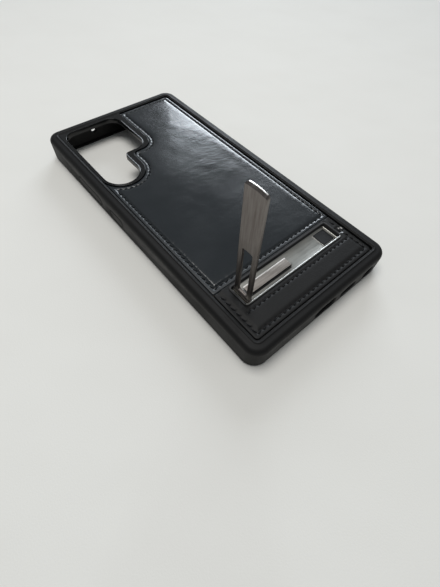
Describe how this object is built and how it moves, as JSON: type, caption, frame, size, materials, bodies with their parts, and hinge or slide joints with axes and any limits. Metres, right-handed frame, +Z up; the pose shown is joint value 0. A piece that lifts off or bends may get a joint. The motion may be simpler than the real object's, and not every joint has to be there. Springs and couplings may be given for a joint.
{
  "type": "phone wallet case",
  "caption": "Leather-backed slip-on phone case with a rubbery bumper, a stepped camera opening, push-through side buttons and a flip-out metal kickstand in a tray.",
  "frame": {"origin": "centre of the footprint, at the height of the front lip's face, which rests on the table", "axes": "+X across the width, to the right seen from the back with the camera end away; +Y along the length towards the camera end; +Z up out of the leather back"},
  "size_m": [0.082, 0.168, 0.0658],
  "materials": {
    "bumper": "matte black moulded TPU",
    "plate": "matte black polycarbonate",
    "lining": "short-pile grey microfibre",
    "bezel": "glossy black",
    "board": "plain fibre board",
    "foam": "closed-cell foam sheet",
    "panel_leather": "glossy black finished leather with a fine grain",
    "band_leather": "smooth matte black leather",
    "thread": "waxed black polyester thread",
    "tray_metal": "satin silver",
    "adhesive": "thin double-sided tape",
    "leaf_steel": "satin warm grey spring steel",
    "magnet": "black coated",
    "pin_steel": "polished",
    "arm_metal": "satin gun-metal grey with bright worn edges"
  },
  "bodies": {
    "case": {"bumper_frame": "bumper", "back_plate": "plate", "inner_lining": "lining", "camera_bezel": "bezel", "backing_board": "board", "panel_padding": "foam", "leather_panel": "panel_leather", "panel_stitching": "thread", "camera_stitching": "thread", "band_padding": "foam", "leather_band": "band_leather", "slot_stitching": "thread", "border_stitching": "thread", "kickstand_tray": "tray_metal", "tray_adhesive": "adhesive", "tension_leaf": "leaf_steel", "magnet": "magnet", "hinge_pin": "pin_steel"},
    "stand_arm": {"kickstand_arm": "arm_metal"},
    "volume_key": {"volume_button": "bumper"},
    "power_key": {"power_button": "bumper"}
  },
  "joints": [
    {"name": "kickstand_hinge", "type": "hinge", "parent": "case", "child": "stand_arm", "pos_m": [-0.0255, -0.0598, 0.0118], "axis": [0, 1, 0], "range_deg": [0, 92]},
    {"name": "volume_press", "type": "slide", "parent": "case", "child": "volume_key", "axis": [1, 0, 0], "range_m": [0, 0.0004], "stiffness_N_per_m": 1000},
    {"name": "power_press", "type": "slide", "parent": "case", "child": "power_key", "axis": [1, 0, 0], "range_m": [0, 0.0004], "stiffness_N_per_m": 1000}
  ]
}
